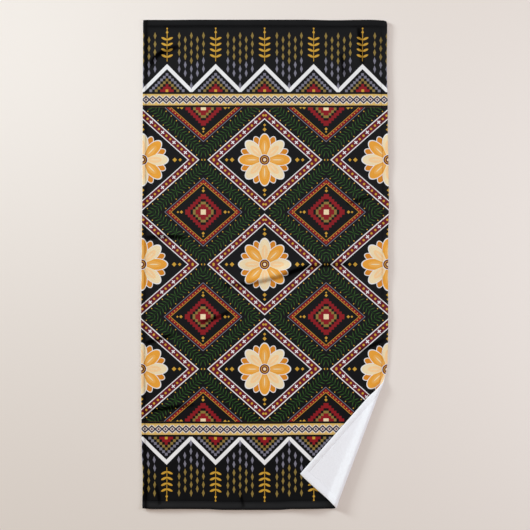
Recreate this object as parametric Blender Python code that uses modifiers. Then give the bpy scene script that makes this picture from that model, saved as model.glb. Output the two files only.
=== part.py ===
"""A printed bath towel lying flat, with one corner folded over to show its white terry back.

Metres, +Z up. The back of the cloth lies on z = 0, +Y runs up the length of the towel and +X to the
right as it is looked down on. The origin is under the middle of the outline. The folded corner is the
lower right one.
"""

import math
from collections import namedtuple

import bmesh
import bpy
import numpy as np

# The cut length of cloth
WIDTH = 0.762
LENGTH = 1.524
THICKNESS = 0.003

# Turned and stitched hems, thicker than the cloth, with a groove along the stitching
SIDE_HEM = 0.015
TOP_HEM = 0.018
BOTTOM_HEM = 0.023
HEM_EXTRA = 0.0007
GROOVE_DEPTH = 0.0007
GROOVE_HALF_WIDTH = 0.002

# The folded corner: its rolled edge runs from the right edge of the towel to the bottom one
FOLD_TOP = (0.381, -0.331)
FOLD_BOTTOM = (0.219, -0.761)
ROLL_RADIUS_TOP = 0.0065
ROLL_RADIUS_BOTTOM = 0.0095
LEAD_IN_TURN = math.radians(35)
LEAD_IN_STRETCH = 1.6
DESCENT_TURN = math.radians(24)
SETTLE_RADIUS = 0.025
FLAP_GAP = 0.0012
FLAP_SKEW = 0.075

# How the mesh is laid out
CELLS_ACROSS = 16
CELLS_ALONG = 32
CREASE_CUTS = 2
LEAD_IN_STEPS = 2
ROLL_STEPS = 8
SETTLE_STEPS = 3
SEAM_LINES = 3
ROUTE_STEPS = 6

# How far each edge of the outline lies outside its straight cut, row by row along that edge
EdgeRow = namedtuple("EdgeRow", "place outward")
LEFT_EDGE = (
    EdgeRow(-0.762, 0.0014),
    EdgeRow(-0.638, -0.0008),
    EdgeRow(-0.421, 0.0020),
    EdgeRow(-0.204, 0.0028),
    EdgeRow(-0.079, 0.0014),
    EdgeRow(0.293, -0.0014),
    EdgeRow(0.762, -0.0023),
)
RIGHT_EDGE = (
    EdgeRow(-0.762, 0.0018),
    EdgeRow(-0.297, -0.0002),
    EdgeRow(-0.204, 0.0011),
    EdgeRow(0.045, 0.0004),
    EdgeRow(0.212, 0.0028),
    EdgeRow(0.473, -0.0020),
    EdgeRow(0.634, -0.0042),
    EdgeRow(0.746, -0.0023),
)
BOTTOM_EDGE = (
    EdgeRow(-0.381, -0.0019),
    EdgeRow(-0.345, 0.0003),
    EdgeRow(-0.247, -0.0030),
    EdgeRow(-0.163, -0.0004),
    EdgeRow(0.042, -0.0004),
    EdgeRow(0.141, -0.0032),
    EdgeRow(0.219, -0.0041),
    EdgeRow(0.381, 0.0029),
)
TOP_EDGE = (
    EdgeRow(-0.381, -0.0018),
    EdgeRow(-0.219, 0.0003),
    EdgeRow(-0.150, -0.0011),
    EdgeRow(0.116, -0.0011),
    EdgeRow(0.200, -0.0031),
    EdgeRow(0.327, -0.0014),
    EdgeRow(0.381, -0.0046),
)

# Soft ridges where the cloth has rucked up: the route of each crest, its height and half its width
Crease = namedtuple("Crease", "route height half_width")
CREASES = {
    "middle": Crease(
        (
            (-0.135, -0.069),
            (-0.045, -0.061),
            (0.048, -0.039),
            (0.110, -0.017),
            (0.172, -0.005),
            (0.285, -0.001),
        ),
        0.0065,
        0.034,
    ),
    "left_upper": Crease(((-0.372, 0.080), (-0.310, 0.084), (-0.243, 0.081)), 0.0050, 0.026),
    "left_lower": Crease(((-0.372, -0.248), (-0.325, -0.233), (-0.268, -0.212)), 0.0050, 0.026),
    "left_inner": Crease(((-0.205, -0.184), (-0.152, -0.169), (-0.105, -0.148)), 0.0035, 0.024),
    "right_lower": Crease(((0.288, -0.273), (0.340, -0.251), (0.376, -0.234)), 0.0045, 0.024),
    "right_upper": Crease(((0.255, 0.185), (0.303, 0.201), (0.350, 0.218)), 0.0040, 0.024),
    "bottom_left": Crease(((-0.370, -0.459), (-0.294, -0.447), (-0.200, -0.434)), 0.0045, 0.028),
    "top_left": Crease(
        ((-0.355, 0.612), (-0.338, 0.639), (-0.318, 0.655), (-0.292, 0.665), (-0.252, 0.678)),
        0.0055,
        0.030,
    ),
    "top_right": Crease(((0.293, 0.738), (0.300, 0.680), (0.306, 0.618)), 0.0045, 0.026),
    "top_right_inner": Crease(((0.236, 0.672), (0.245, 0.625), (0.249, 0.585)), 0.0025, 0.022),
    "hem_left": Crease(((-0.322, -0.745), (-0.327, -0.712), (-0.336, -0.678)), 0.0035, 0.020),
    "hem_middle": Crease(((-0.062, -0.752), (-0.068, -0.728), (-0.078, -0.698)), 0.0030, 0.020),
}

# Values worked out from the sizes above
HALF_WIDTH = WIDTH / 2
HALF_LENGTH = LENGTH / 2
FOLD_RUN = math.dist(FOLD_TOP, FOLD_BOTTOM)
FOLD_ALONG = np.subtract(FOLD_BOTTOM, FOLD_TOP) / FOLD_RUN
FOLD_ACROSS = np.array((-FOLD_ALONG[1], FOLD_ALONG[0]))
FLAP_HEIGHT = 2 * THICKNESS + FLAP_GAP
THICKEST = THICKNESS + HEM_EXTRA


def eased(table, place):
    """A table's value at each place along it, turning smoothly from one row to the next."""
    places, values = np.transpose(table)
    row = np.clip(np.searchsorted(places, place) - 1, 0, len(places) - 2)
    part = np.clip((place - places[row]) / (places[row + 1] - places[row]), 0, 1)
    part = (1 - np.cos(math.pi * part)) / 2
    return values[row] * (1 - part) + values[row + 1] * part


def uneven_outline(u, v):
    """Where each point of the cut cloth lies on the floor, its edges drawn in and let out a little."""
    right = np.clip(u / HALF_WIDTH, 0, 1) ** 2 * eased(RIGHT_EDGE, v)
    left = np.clip(-u / HALF_WIDTH, 0, 1) ** 2 * eased(LEFT_EDGE, v)
    top = np.clip(v / HALF_LENGTH, 0, 1) ** 2 * eased(TOP_EDGE, u)
    bottom = np.clip(-v / HALF_LENGTH, 0, 1) ** 2 * eased(BOTTOM_EDGE, u)
    return u + right - left, v + top - bottom


def smooth_route(points):
    """A curve through a crease's points, as short straight steps."""
    points = np.array(points)
    ends = np.vstack((2 * points[0] - points[1], points, 2 * points[-1] - points[-2]))
    steps = []
    for before, start, end, after in zip(ends, ends[1:], ends[2:], ends[3:]):
        for part in np.arange(ROUTE_STEPS) / ROUTE_STEPS:
            steps.append(
                start
                + part * (end - before) / 2
                + part**2 * (before - 2.5 * start + 2 * end - after / 2)
                + part**3 * (1.5 * (start - end) + (after - before) / 2)
            )
    return np.array(steps + [points[-1]])


def near_route(crease, x, y):
    """How far each point lies from a crease's crest, and how far along the crest, from 0 to 1."""
    route = smooth_route(crease.route)
    lengths = np.hypot(*np.diff(route, axis=0).T)
    total = lengths.sum()
    distance = np.full(x.shape, np.inf)
    along = np.zeros(x.shape)
    passed = 0.0
    for start, end, length in zip(route, route[1:], lengths):
        step = (end - start) / length
        reach = np.clip((x - start[0]) * step[0] + (y - start[1]) * step[1], 0, length)
        here = np.hypot(x - start[0] - reach * step[0], y - start[1] - reach * step[1])
        along = np.where(here < distance, (passed + reach) / total, along)
        distance = np.minimum(distance, here)
        passed += length
    return distance, along


def crease_height(x, y):
    """How high the cloth is lifted off the floor by its soft ridges. It is 0 away from them."""
    height = np.zeros(x.shape)
    for crease in CREASES.values():
        distance, along = near_route(crease, x, y)
        across = (1 + np.cos(math.pi * np.clip(distance / crease.half_width, 0, 1))) / 2
        height = np.maximum(height, crease.height * across * np.sin(math.pi * along))
    return height


def hem_relief(u, v):
    """How much thicker than plain cloth the hems are, and how much thinner at their stitching."""
    end_hem = np.where(v > 0, TOP_HEM, BOTTOM_HEM)
    inside = np.minimum(HALF_WIDTH - np.abs(u) - SIDE_HEM, HALF_LENGTH - np.abs(v) - end_hem)
    from_seam = inside - GROOVE_HALF_WIDTH
    groove = np.clip(1 - np.abs(from_seam) / GROOVE_HALF_WIDTH, 0, 1)
    hem = np.clip(-from_seam / GROOVE_HALF_WIDTH, 0, 1)
    return HEM_EXTRA * hem - GROOVE_DEPTH * groove


def roll_radius(along):
    """The radius of the rolled edge, which opens out towards the bottom of the towel."""
    part = np.clip(along / FOLD_RUN, 0, 1)
    return ROLL_RADIUS_TOP + part * (ROLL_RADIUS_BOTTOM - ROLL_RADIUS_TOP)


def fold_sections(along):
    """The cloth's way round the folded corner, as (turn, length) sections of even curvature."""
    radius = roll_radius(along)
    lead_in = LEAD_IN_STRETCH * radius
    crown = lead_in * (1 - math.cos(LEAD_IN_TURN)) + radius * (
        math.cos(LEAD_IN_TURN) + math.cos(DESCENT_TURN)
    )
    settle_drop = SETTLE_RADIUS * (1 - math.cos(DESCENT_TURN))
    slope = (crown - settle_drop - FLAP_HEIGHT) / math.sin(DESCENT_TURN)
    roll_turn = math.pi + DESCENT_TURN - LEAD_IN_TURN
    return (
        (LEAD_IN_TURN, LEAD_IN_TURN * lead_in),
        (roll_turn, roll_turn * radius),
        (0.0, slope),
        (-DESCENT_TURN, DESCENT_TURN * np.full_like(radius, SETTLE_RADIUS)),
    )


def lift_off(along):
    """Where the cloth leaves the floor, as a distance across from the fold's outermost line."""
    radius = roll_radius(along)
    lead_in = LEAD_IN_STRETCH * radius * math.sin(LEAD_IN_TURN)
    return -lead_in - radius * (1 - math.sin(LEAD_IN_TURN))


def round_the_fold(past, along):
    """The place across the fold, height and heading of cloth that lies this far past its lift-off."""
    across = lift_off(along) + np.minimum(past, 0)
    height = np.zeros(past.shape)
    heading = np.zeros(past.shape)
    left = np.maximum(past, 0)
    for turn, length in fold_sections(along):
        reach = np.minimum(left, length)
        if turn:
            radius = length / turn
            turned = heading + reach / radius
            across += radius * (np.sin(turned) - np.sin(heading))
            height += radius * (np.cos(heading) - np.cos(turned))
            heading = turned
        else:
            across += reach * np.cos(heading)
            height += reach * np.sin(heading)
        left = left - reach
    return across + left * np.cos(heading), height + left * np.sin(heading), heading


def back_of_cloth(u, v):
    """The place of each point (u, v) of the cut cloth on its back, which lies on the floor."""
    x, y = uneven_outline(u, v)
    from_top = np.stack((x - FOLD_TOP[0], y - FOLD_TOP[1]))
    along = FOLD_ALONG @ from_top
    past = FOLD_ACROSS @ from_top - lift_off(along)
    across, height, heading = round_the_fold(past, along)
    folded = past > 0
    # The seams sink and the hems stand up on the side of the cloth that doesn't lie on the floor
    relief = hem_relief(u, v) * (1 - np.cos(heading)) / 2
    across += relief * np.sin(heading)
    height -= relief * np.cos(heading)
    turned_over = np.maximum(past - math.pi / 2 * roll_radius(along), 0)
    along = along - FLAP_SKEW * turned_over
    folded_x = FOLD_TOP[0] + along * FOLD_ALONG[0] + across * FOLD_ACROSS[0]
    folded_y = FOLD_TOP[1] + along * FOLD_ALONG[1] + across * FOLD_ACROSS[1]
    return (
        np.where(folded, folded_x, x),
        np.where(folded, folded_y, y),
        np.where(folded, height, crease_height(x, y)),
    )


def cut_straight(mesh, point, normal):
    """Cuts the whole flat sheet along the line through a point, square to a direction."""
    geometry = mesh.verts[:] + mesh.edges[:] + mesh.faces[:]
    bmesh.ops.bisect_plane(mesh, geom=geometry, dist=1e-6, plane_co=(*point, 0), plane_no=(*normal, 0))


def refine_creases(mesh):
    """Halves the cells that a crease reaches, so that its ridge comes out round."""
    centres = np.array([face.calc_center_median()[:2] for face in mesh.faces])
    cell = max(max(edge.calc_length() for edge in face.edges) for face in mesh.faces)
    edges = set()
    for crease in CREASES.values():
        distance, _ = near_route(crease, *centres.T)
        for index in np.flatnonzero(distance < crease.half_width + cell / 2):
            edges.update(mesh.faces[index].edges)
    bmesh.ops.subdivide_edges(mesh, edges=list(edges), cuts=1, use_grid_fill=True)
    mesh.faces.ensure_lookup_table()


def cut_hem_lines(mesh):
    """Cuts the sheet along both sides and the bottom of each hem's stitched groove."""
    for line in range(SEAM_LINES):
        inward = line * GROOVE_HALF_WIDTH
        side = HALF_WIDTH - SIDE_HEM - inward
        cut_straight(mesh, (side, 0), (1, 0))
        cut_straight(mesh, (-side, 0), (1, 0))
        cut_straight(mesh, (0, HALF_LENGTH - TOP_HEM - inward), (0, 1))
        cut_straight(mesh, (0, BOTTOM_HEM + inward - HALF_LENGTH), (0, 1))


def cut_fold_lines(mesh):
    """Cuts the flat sheet along the lines that become the facets of the rolled edge."""
    steps = (LEAD_IN_STEPS, ROLL_STEPS, 1, SETTLE_STEPS)
    ends = (np.array(0.0), np.array(FOLD_RUN))
    lines = [[float(lift_off(along)) for along in ends]]
    for section, count in enumerate(steps):
        spans = [float(fold_sections(along)[section][1]) / count for along in ends]
        for _ in range(count):
            lines.append([reach + span for reach, span in zip(lines[-1], spans)])
    for top_reach, bottom_reach in lines:
        top = np.array(FOLD_TOP) + top_reach * FOLD_ACROSS
        bottom = np.array(FOLD_BOTTOM) + bottom_reach * FOLD_ACROSS
        cut_straight(mesh, top, (bottom[1] - top[1], top[0] - bottom[0]))


def flat_sheet():
    """The cut length of cloth, with small cells where it is creased, hemmed or folded."""
    mesh = bmesh.new()
    bmesh.ops.create_grid(mesh, x_segments=CELLS_ACROSS, y_segments=CELLS_ALONG, size=1)
    bmesh.ops.scale(mesh, verts=mesh.verts[:], vec=(HALF_WIDTH, HALF_LENGTH, 1))
    mesh.faces.ensure_lookup_table()
    for _ in range(CREASE_CUTS):
        refine_creases(mesh)
    cut_hem_lines(mesh)
    cut_fold_lines(mesh)
    return mesh


def material(name, colour, roughness):
    """A plain cloth finish."""
    made = bpy.data.materials.new(name)
    made.use_nodes = True
    shader = made.node_tree.nodes["Principled BSDF"]
    shader.inputs["Base Color"].default_value = (*colour, 1)
    shader.inputs["Roughness"].default_value = roughness
    shader.inputs["Metallic"].default_value = 0
    made.diffuse_color = (*colour, 1)
    return made


def make_towel(collection):
    """The towel: one sheet of cloth, creased, hemmed and folded over at its corner."""
    sheet = flat_sheet()
    weights = sheet.verts.layers.deform.verify()
    u, v, _ = np.array([vertex.co for vertex in sheet.verts]).T
    placed = np.transpose(back_of_cloth(u, v))
    thickness = THICKNESS + hem_relief(u, v)
    for vertex, place, thick in zip(sheet.verts, placed, thickness):
        vertex.co = place
        vertex[weights][0] = thick / THICKEST
    # The sheet's own face is the back of the cloth, which looks down
    bmesh.ops.reverse_faces(sheet, faces=sheet.faces[:])
    bmesh.ops.triangulate(sheet, faces=sheet.faces[:])
    mesh = bpy.data.meshes.new("towel")
    sheet.to_mesh(mesh)
    sheet.free()
    mesh.materials.append(material("white terry back", (0.83, 0.82, 0.86), 0.95))
    mesh.materials.append(material("printed front", (0.008, 0.008, 0.010), 0.85))
    towel = bpy.data.objects.new("towel", mesh)
    collection.objects.link(towel)
    towel.vertex_groups.new(name="thickness")
    body = towel.modifiers.new("Cloth thickness", "SOLIDIFY")
    body.thickness = THICKEST
    body.offset = -1
    body.vertex_group = "thickness"
    body.thickness_vertex_group = 0
    body.use_rim = True
    body.material_offset = 1
    body.material_offset_rim = 1
    mesh.shade_smooth()
    return towel


def main():
    for leftover in list(bpy.data.objects):
        bpy.data.objects.remove(leftover, do_unlink=True)
    collection = bpy.data.collections.new("Bath towel")
    bpy.context.scene.collection.children.link(collection)
    make_towel(collection)


main()
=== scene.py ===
"""The looks of a printed bath towel that lies flat, with one corner folded over to show its white back.

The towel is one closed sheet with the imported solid's shape: flat on the floor, with soft ridges, stitched
hems and a rolled corner. Its front is cut pile with a folk print, worked out in nodes from the place on
the flat cloth. Its back is looped white terry.
"""

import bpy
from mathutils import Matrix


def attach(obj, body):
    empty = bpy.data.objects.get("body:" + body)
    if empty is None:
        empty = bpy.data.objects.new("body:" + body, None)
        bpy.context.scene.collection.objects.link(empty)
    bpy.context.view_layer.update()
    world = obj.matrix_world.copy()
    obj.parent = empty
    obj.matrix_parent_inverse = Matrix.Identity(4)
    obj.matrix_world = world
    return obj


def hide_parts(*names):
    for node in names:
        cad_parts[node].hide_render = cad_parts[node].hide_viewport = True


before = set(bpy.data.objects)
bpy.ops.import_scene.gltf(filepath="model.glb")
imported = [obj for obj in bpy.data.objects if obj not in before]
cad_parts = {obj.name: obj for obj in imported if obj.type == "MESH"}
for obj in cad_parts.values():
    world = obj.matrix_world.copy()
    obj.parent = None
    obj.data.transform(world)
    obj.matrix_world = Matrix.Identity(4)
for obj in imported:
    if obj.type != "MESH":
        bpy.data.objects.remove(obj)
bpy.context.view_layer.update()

import math
from functools import partialmethod

import bmesh
import bpy
import numpy as np
from mathutils import Euler, Vector

# The cut length of cloth, in metres, as the construction has it
WIDTH = 0.762
LENGTH = 1.524
THICKNESS = 0.003
HALF_WIDTH = WIDTH / 2
HALF_LENGTH = LENGTH / 2

# Turned and stitched hems, puffier than in the solid and narrower on the left, with a deeper groove
# along the stitching. On the back each hem is a low pillow, and this much flatter at its very edge
LEFT_HEM = 0.0085
RIGHT_HEM = 0.015
TOP_HEM = 0.019
BOTTOM_HEM = 0.023
HEM_EXTRA = 0.0014
GROOVE_DEPTH = 0.0012
GROOVE_REACH = 0.002
BACK_HEM_EXTRA = 0.0018
BACK_GROOVE_DEPTH = 0.0003
BACK_HEM_CREST = 0.3
BACK_HEM_FLATTER = 0.7

# How far the left, right, bottom and top edges curl up off the floor, in waves of a size and a seed. The
# corners are rounded
EDGE_CURL = (0.0016, 0.007, 0.0105, 0.0016)
CURL_REACH = 0.042
CURL_WAVE = (0.085, 31)
CURL_LEAST = 0.35
CURL_REST = 0.06
CORNER_REACH = 0.011
CORNER_PULL = 0.0008
TOP_RIGHT_PULL = 0.0026

# The folded corner: its rolled edge runs from the right edge of the towel to the bottom one
FOLD_TOP = (0.381, -0.331)
FOLD_BOTTOM = (0.219, -0.761)
ROLL_RADIUS_TOP = 0.0065
ROLL_RADIUS_BOTTOM = 0.0095
LEAD_IN_TURN = math.radians(35)
LEAD_IN_STRETCH = 1.6
DESCENT_TURN = math.radians(24)
SETTLE_RADIUS = 0.025
FLAP_GAP = 0.0024
FLAP_SKEW = 0.075

# How far each edge of the outline lies outside its straight cut, after each place along that edge
LEFT_EDGE = (
    (-0.762, -0.0014), (-0.655, -0.0027), (-0.585, 0.0003), (-0.421, 0.0018),
    (-0.204, 0.0024), (-0.079, 0.0015), (0.293, -0.002), (0.762, -0.0038),
)
RIGHT_EDGE = (
    (-0.762, 0.0018), (-0.44, 0.0006), (-0.395, -0.0028), (-0.358, -0.0062),
    (-0.324, -0.0008), (-0.297, 0.001), (-0.204, 0.0022), (0.045, 0.0018),
    (0.212, 0.0043), (0.473, 0.0006), (0.634, -0.0022), (0.746, -0.001),
)
BOTTOM_EDGE = (
    (-0.381, -0.0049), (-0.345, -0.003), (-0.29, -0.0036), (-0.18, -0.0031),
    (-0.128, -0.0007), (0.042, -0.0006), (0.09, -0.0035), (0.141, -0.004),
    (0.219, -0.0041), (0.381, 0.0029),
)
TOP_EDGE = (
    (-0.381, -0.0034), (-0.3, -0.0035), (-0.2, -0.0027), (-0.15, -0.003),
    (0.116, -0.0029), (0.215, -0.0045), (0.327, -0.0032), (0.381, -0.0058),
)

# Soft ridges where the cloth has rucked up: the crest's height, half its width, how much painted shade
# lies at its foot, along how much of its route, and then that route
CREASES = (
    (
        0.0065, 0.034, 1.0, 1.0, (-0.135, -0.069), (-0.045, -0.061), (0.048, -0.039),
        (0.11, -0.017), (0.172, -0.005), (0.285, -0.001),
    ),
    (0.005, 0.026, 1.0, 1.0, (-0.372, 0.08), (-0.31, 0.084), (-0.243, 0.081)),
    (0.005, 0.026, 1.0, 0.8, (-0.372, -0.248), (-0.325, -0.233), (-0.268, -0.212)),
    (0.0035, 0.024, 1.0, 1.0, (-0.205, -0.184), (-0.152, -0.169), (-0.105, -0.148)),
    (0.0045, 0.024, 0.8, 1.0, (0.288, -0.273), (0.34, -0.251), (0.376, -0.234)),
    (0.004, 0.024, 0.7, 0.8, (0.255, 0.185), (0.303, 0.201), (0.35, 0.218)),
    (0.0045, 0.028, 0.9, 0.9, (-0.37, -0.459), (-0.294, -0.447), (-0.2, -0.434)),
    (
        0.0055, 0.03, 1.0, 0.9, (-0.355, 0.612), (-0.338, 0.639), (-0.318, 0.655),
        (-0.292, 0.665), (-0.252, 0.678),
    ),
    (0.0045, 0.026, 1.0, 1.0, (0.293, 0.738), (0.3, 0.68), (0.306, 0.618)),
    (0.0025, 0.022, 0.85, 0.8, (0.249, 0.585), (0.245, 0.625), (0.236, 0.672)),
    (0.0035, 0.02, 0.7, 1.0, (-0.322, -0.745), (-0.327, -0.712), (-0.336, -0.678)),
    (0.003, 0.02, 0.75, 1.0, (-0.062, -0.752), (-0.068, -0.728), (-0.078, -0.698)),
)
ROUTE_STEPS = 6

# Each ridge leans the same way: a long rise, then a steep fall to its foot. Painted shade darkens the
# foot and a painted highlight lightens the rise, with patches of a size and a seed
LEAN = np.array((0.857, -0.514))
CREST_BACK = 0.008
STEEP_WIDTH = 0.011
BEYOND_FOOT = 0.15
RIDGE_GAIN = 1.2
RIDGE_BLUNTNESS = 0.55
RIDGE_STOP = 0.999
SHADE_BACK = 0.003
PAINTED_REACH = 0.42
SHADE_STEEPNESS = 1.2
SHADE_BLUNTNESS = 0.3
HIGHLIGHT_BACK = 0.016
PAINTED_HIGHLIGHT = 0.4
PATCH = (0.03, 41)
PATCH_DEPTH = 1.1
PATCHINESS = 0.3

# Painted shade lies along the stitching too, by this much after each place along the left and top hems,
# with patches of its own
LEFT_SEAM = (
    (-0.762, 0.85), (-0.69, 0.85), (-0.65, 0.5), (-0.4, 0.5),
    (-0.2, 0.4), (0.57, 0.4), (0.625, 0.8), (0.762, 0.8),
)
TOP_SEAM = ((-0.381, 0.6), (-0.15, 0.55), (-0.11, 0.38), (0.381, 0.36))
OTHER_SEAMS = 0.15
SEAM_REACH = 0.0075
SEAM_STEEPNESS = 1.3
SEAM_PATCH = (0.045, 42)
SEAM_PATCH_DEPTH = 0.9
SEAM_PATCHINESS = 0.2

# The fine mesh of the cloth, with its cells halved near the ridges and again at their steep side. The
# steps are those of the fold's lead-in, its roll, the slope down from it and where the corner settles
CELL = 0.008
FINE_REACH = 0.024
FINEST_REACH = 0.0115
ROUNDED_EDGE = 0.0019
EDGE_LINES = (0.0, 0.00015, 0.0006, 0.0012, ROUNDED_EDGE, 0.0034, 0.0052, 0.0078, 0.0104)
SEAM_LINES = (-0.0026, -0.001, 0.0, 0.001, 0.002, 0.003, 0.004, 0.005, 0.0066)
FOLD_STEPS = (4, 14, 2, 4)
NORMAL_STEP = 0.0005
UPRIGHT_BEFORE = 0.03
WELD = 1e-6
SNAP = 5e-5
MAP_MARGIN = 0.004

# Unevenness of the pile: the size of the lumps, how far they stand up, and their seed
FRONT_LUMPS = ((0.095, 0.0005, 11), (0.034, 0.00028, 12))
BACK_LUMPS = ((0.048, 0.00035, 21), (0.021, 0.0002, 22))

# Lockstitching along the bottom of the hems' groove
STITCH_PITCH = 0.0033
STITCH_LENGTH = 0.0027
STITCH_RADIUS = 0.00028
STITCH_RISE = 0.00018
STITCH_SIDES = 6
STITCH_RINGS = ((-0.5, 0.35), (-0.36, 0.95), (0.0, 1.0), (0.36, 0.95), (0.5, 0.35))

# Values worked out from the sizes above
FOLD_RUN = math.dist(FOLD_TOP, FOLD_BOTTOM)
FOLD_ALONG = np.subtract(FOLD_BOTTOM, FOLD_TOP) / FOLD_RUN
FOLD_ACROSS = np.array((-FOLD_ALONG[1], FOLD_ALONG[0]))
HEMS = np.array((LEFT_HEM, RIGHT_HEM, BOTTOM_HEM, TOP_HEM))


def soft_step(part):
    """0 below 0, 1 above 1, and a smooth rise between."""
    part = np.clip(part, 0, 1)
    return part * part * (3 - 2 * part)


def rounded_fall(part):
    """1 at 0 and 0 from 1 on, with a level start and a level end."""
    return (1 + np.cos(math.pi * np.clip(part, 0, 1))) / 2


def soft_noise(u, v, size, seed):
    """Smooth seeded noise over the flat cloth, from -1 to 1, with lumps of about this size."""
    rows = int(LENGTH / size) + 4
    columns = int(WIDTH / size) + 4
    values = np.random.default_rng(seed).uniform(-1, 1, (rows, columns))
    row = np.clip((v + HALF_LENGTH) / size + 1, 0, rows - 1.001)
    column = np.clip((u + HALF_WIDTH) / size + 1, 0, columns - 1.001)
    up = soft_step(row % 1)
    over = soft_step(column % 1)
    row = row.astype(int)
    column = column.astype(int)
    low = values[row, column] * (1 - over) + values[row, column + 1] * over
    high = values[row + 1, column] * (1 - over) + values[row + 1, column + 1] * over
    return low * (1 - up) + high * up


def eased(table, place):
    """A table's value at each place along it, turning smoothly from one row to the next."""
    places, values = np.transpose(table)
    row = np.clip(np.searchsorted(places, place) - 1, 0, len(places) - 2)
    left = rounded_fall((place - places[row]) / (places[row + 1] - places[row]))
    return values[row] * left + values[row + 1] * (1 - left)


def inside_edges(u, v):
    """How far each point of the cut cloth lies inside its left, right, bottom and top edges."""
    return np.stack((HALF_WIDTH + u, HALF_WIDTH - u, HALF_LENGTH + v, HALF_LENGTH - v))


def uneven_outline(u, v):
    """Where each point of the cut cloth lies on the floor, its edges drawn in and let out a little."""
    inside = inside_edges(u, v)
    outward = np.clip(1 - inside / inside_edges(0, 0)[:, None], 0, 1) ** 2
    let_out = (eased(LEFT_EDGE, v), eased(RIGHT_EDGE, v), eased(BOTTOM_EDGE, u), eased(TOP_EDGE, u))
    left, right, bottom, top = outward * let_out
    near = np.clip(1 - inside / CORNER_REACH, 0, 1)
    pull = np.where((u > 0) & (v > 0), TOP_RIGHT_PULL, CORNER_PULL)
    pull *= near[:2].sum(axis=0) * near[2:].sum(axis=0)
    return u + right - left - np.sign(u) * pull, v + top - bottom - np.sign(v) * pull


def smooth_route(points):
    """A curve through a crease's points, as short straight steps."""
    points = np.array(points)
    ends = np.vstack((2 * points[0] - points[1], points, 2 * points[-1] - points[-2]))
    steps = []
    for before, start, end, after in zip(ends, ends[1:], ends[2:], ends[3:]):
        for part in np.arange(ROUTE_STEPS) / ROUTE_STEPS:
            steps.append(
                start
                + part * (end - before) / 2
                + part**2 * (before - 2.5 * start + 2 * end - after / 2)
                + part**3 * (1.5 * (start - end) + (after - before) / 2)
            )
    return np.array(steps + [points[-1]])


def near_route(points, x, y):
    """How far each point lies on the leaning side of a crease's route, and how far along it, 0 to 1."""
    route = smooth_route(points)
    lengths = np.hypot(*np.diff(route, axis=0).T)
    total = lengths.sum()
    nearest = np.full(x.shape, np.inf)
    along = np.zeros(x.shape)
    side = np.ones(x.shape)
    passed = 0.0
    for start, end, length in zip(route, route[1:], lengths):
        step = (end - start) / length
        from_start = np.stack((x - start[0], y - start[1]))
        reach = np.clip(step @ from_start, 0, length)
        off = from_start - np.outer(step, reach)
        here = np.hypot(*off)
        nearer = here < nearest
        along = np.where(nearer, (passed + reach) / total, along)
        side = np.where(nearer, np.where(LEAN @ off < 0, -1, 1), side)
        nearest = np.minimum(nearest, here)
        passed += length
    return nearest * side, along


def in_reach(route, x, y, reach):
    """Which points lie within this reach of the box round a crease's route."""
    low_x, low_y = np.min(route, axis=0) - reach
    high_x, high_y = np.max(route, axis=0) + reach
    return np.flatnonzero((x > low_x) & (x < high_x) & (y > low_y) & (y < high_y))


def crease_shape(x, y):
    """How high the ridges lift the cloth, and how much painted shade lies at their foot: below 0 where a
    painted highlight lies on their rise.
    """
    height = np.zeros(x.shape)
    painted_shading = np.zeros(x.shape)
    for crest, half_width, foot_shade, shaded_to, *route in CREASES:
        close = in_reach(route, x, y, half_width + CREST_BACK)
        leeward, along = near_route(route, x[close], y[close])
        past_crest = leeward + CREST_BACK
        down = np.clip(past_crest / STEEP_WIDTH, 0, 1)
        beyond = BEYOND_FOOT * rounded_fall(past_crest / half_width)
        rise = rounded_fall(-past_crest / half_width)
        fall = beyond + (1 - BEYOND_FOOT) * (1 - down**2)
        middle = np.sin(math.pi * np.clip(along, 0, RIDGE_STOP)) ** RIDGE_BLUNTNESS
        here = RIDGE_GAIN * crest * middle * np.where(past_crest < 0, rise, fall)
        height[close] = np.maximum(height[close], here)
        # Painted shade at the steep foot, less a painted highlight on the rise, both in patches
        reach = PAINTED_REACH * half_width
        painted_shade = soft_step(SHADE_STEEPNESS * (1 - np.abs(leeward + SHADE_BACK) / reach))
        brushed_and_highlight = PAINTED_HIGHLIGHT * soft_step(1 - np.abs(leeward + HIGHLIGHT_BACK) / reach)
        dark = np.abs(np.sin(math.pi * np.clip(along / shaded_to, 0, 1))) ** SHADE_BLUNTNESS
        patchy = np.clip(PATCH_DEPTH + PATCHINESS * soft_noise(x[close], y[close], *PATCH), 0, 1)
        painted_here = (painted_shade - brushed_and_highlight) * foot_shade * dark * patchy
        painted_shading[close] = np.where(np.abs(painted_here) > np.abs(painted_shading[close]), painted_here, painted_shading[close])
    return height, painted_shading


def from_edge(u, v):
    """How far each point of the cut cloth lies from its nearest edge."""
    return inside_edges(u, v).min(axis=0)


def past_hems(u, v):
    """How far each point lies inside the four hems. It is negative on a hem."""
    return inside_edges(u, v) - HEMS[:, None]


def floor_curl(u, v, past):
    """How far the edges curl up off the floor: less and less towards the fold, which lies past 0."""
    reach = np.clip(1 - inside_edges(u, v) / CURL_REACH, 0, 1)
    lift = np.linalg.norm([curl * part**2 for curl, part in zip(EDGE_CURL, reach)], axis=0)
    wave = (1 + soft_noise(u, v, *CURL_WAVE)) / 2
    return lift * (CURL_LEAST + (1 - CURL_LEAST) * wave) * soft_step(-past / CURL_REST)


def seam_groove(u, v):
    """1 along the hems' stitching and 0 away from it."""
    from_middle = past_hems(u, v).min(axis=0) - GROOVE_REACH
    return soft_step(1 - np.abs(from_middle) / GROOVE_REACH)


def seam_painted_shade(u, v):
    """How much painted shade lies along the hems' stitching."""
    depths = (eased(LEFT_SEAM, v), OTHER_SEAMS, OTHER_SEAMS, eased(TOP_SEAM, u))
    reach = SEAM_STEEPNESS * (1 - np.abs(past_hems(u, v) - GROOVE_REACH) / SEAM_REACH)
    painted_shading = [depth * soft_step(part) for depth, part in zip(depths, reach)]
    patchy = SEAM_PATCH_DEPTH + SEAM_PATCHINESS * soft_noise(u, v, *SEAM_PATCH)
    return np.max(painted_shading, axis=0) * patchy


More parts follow.
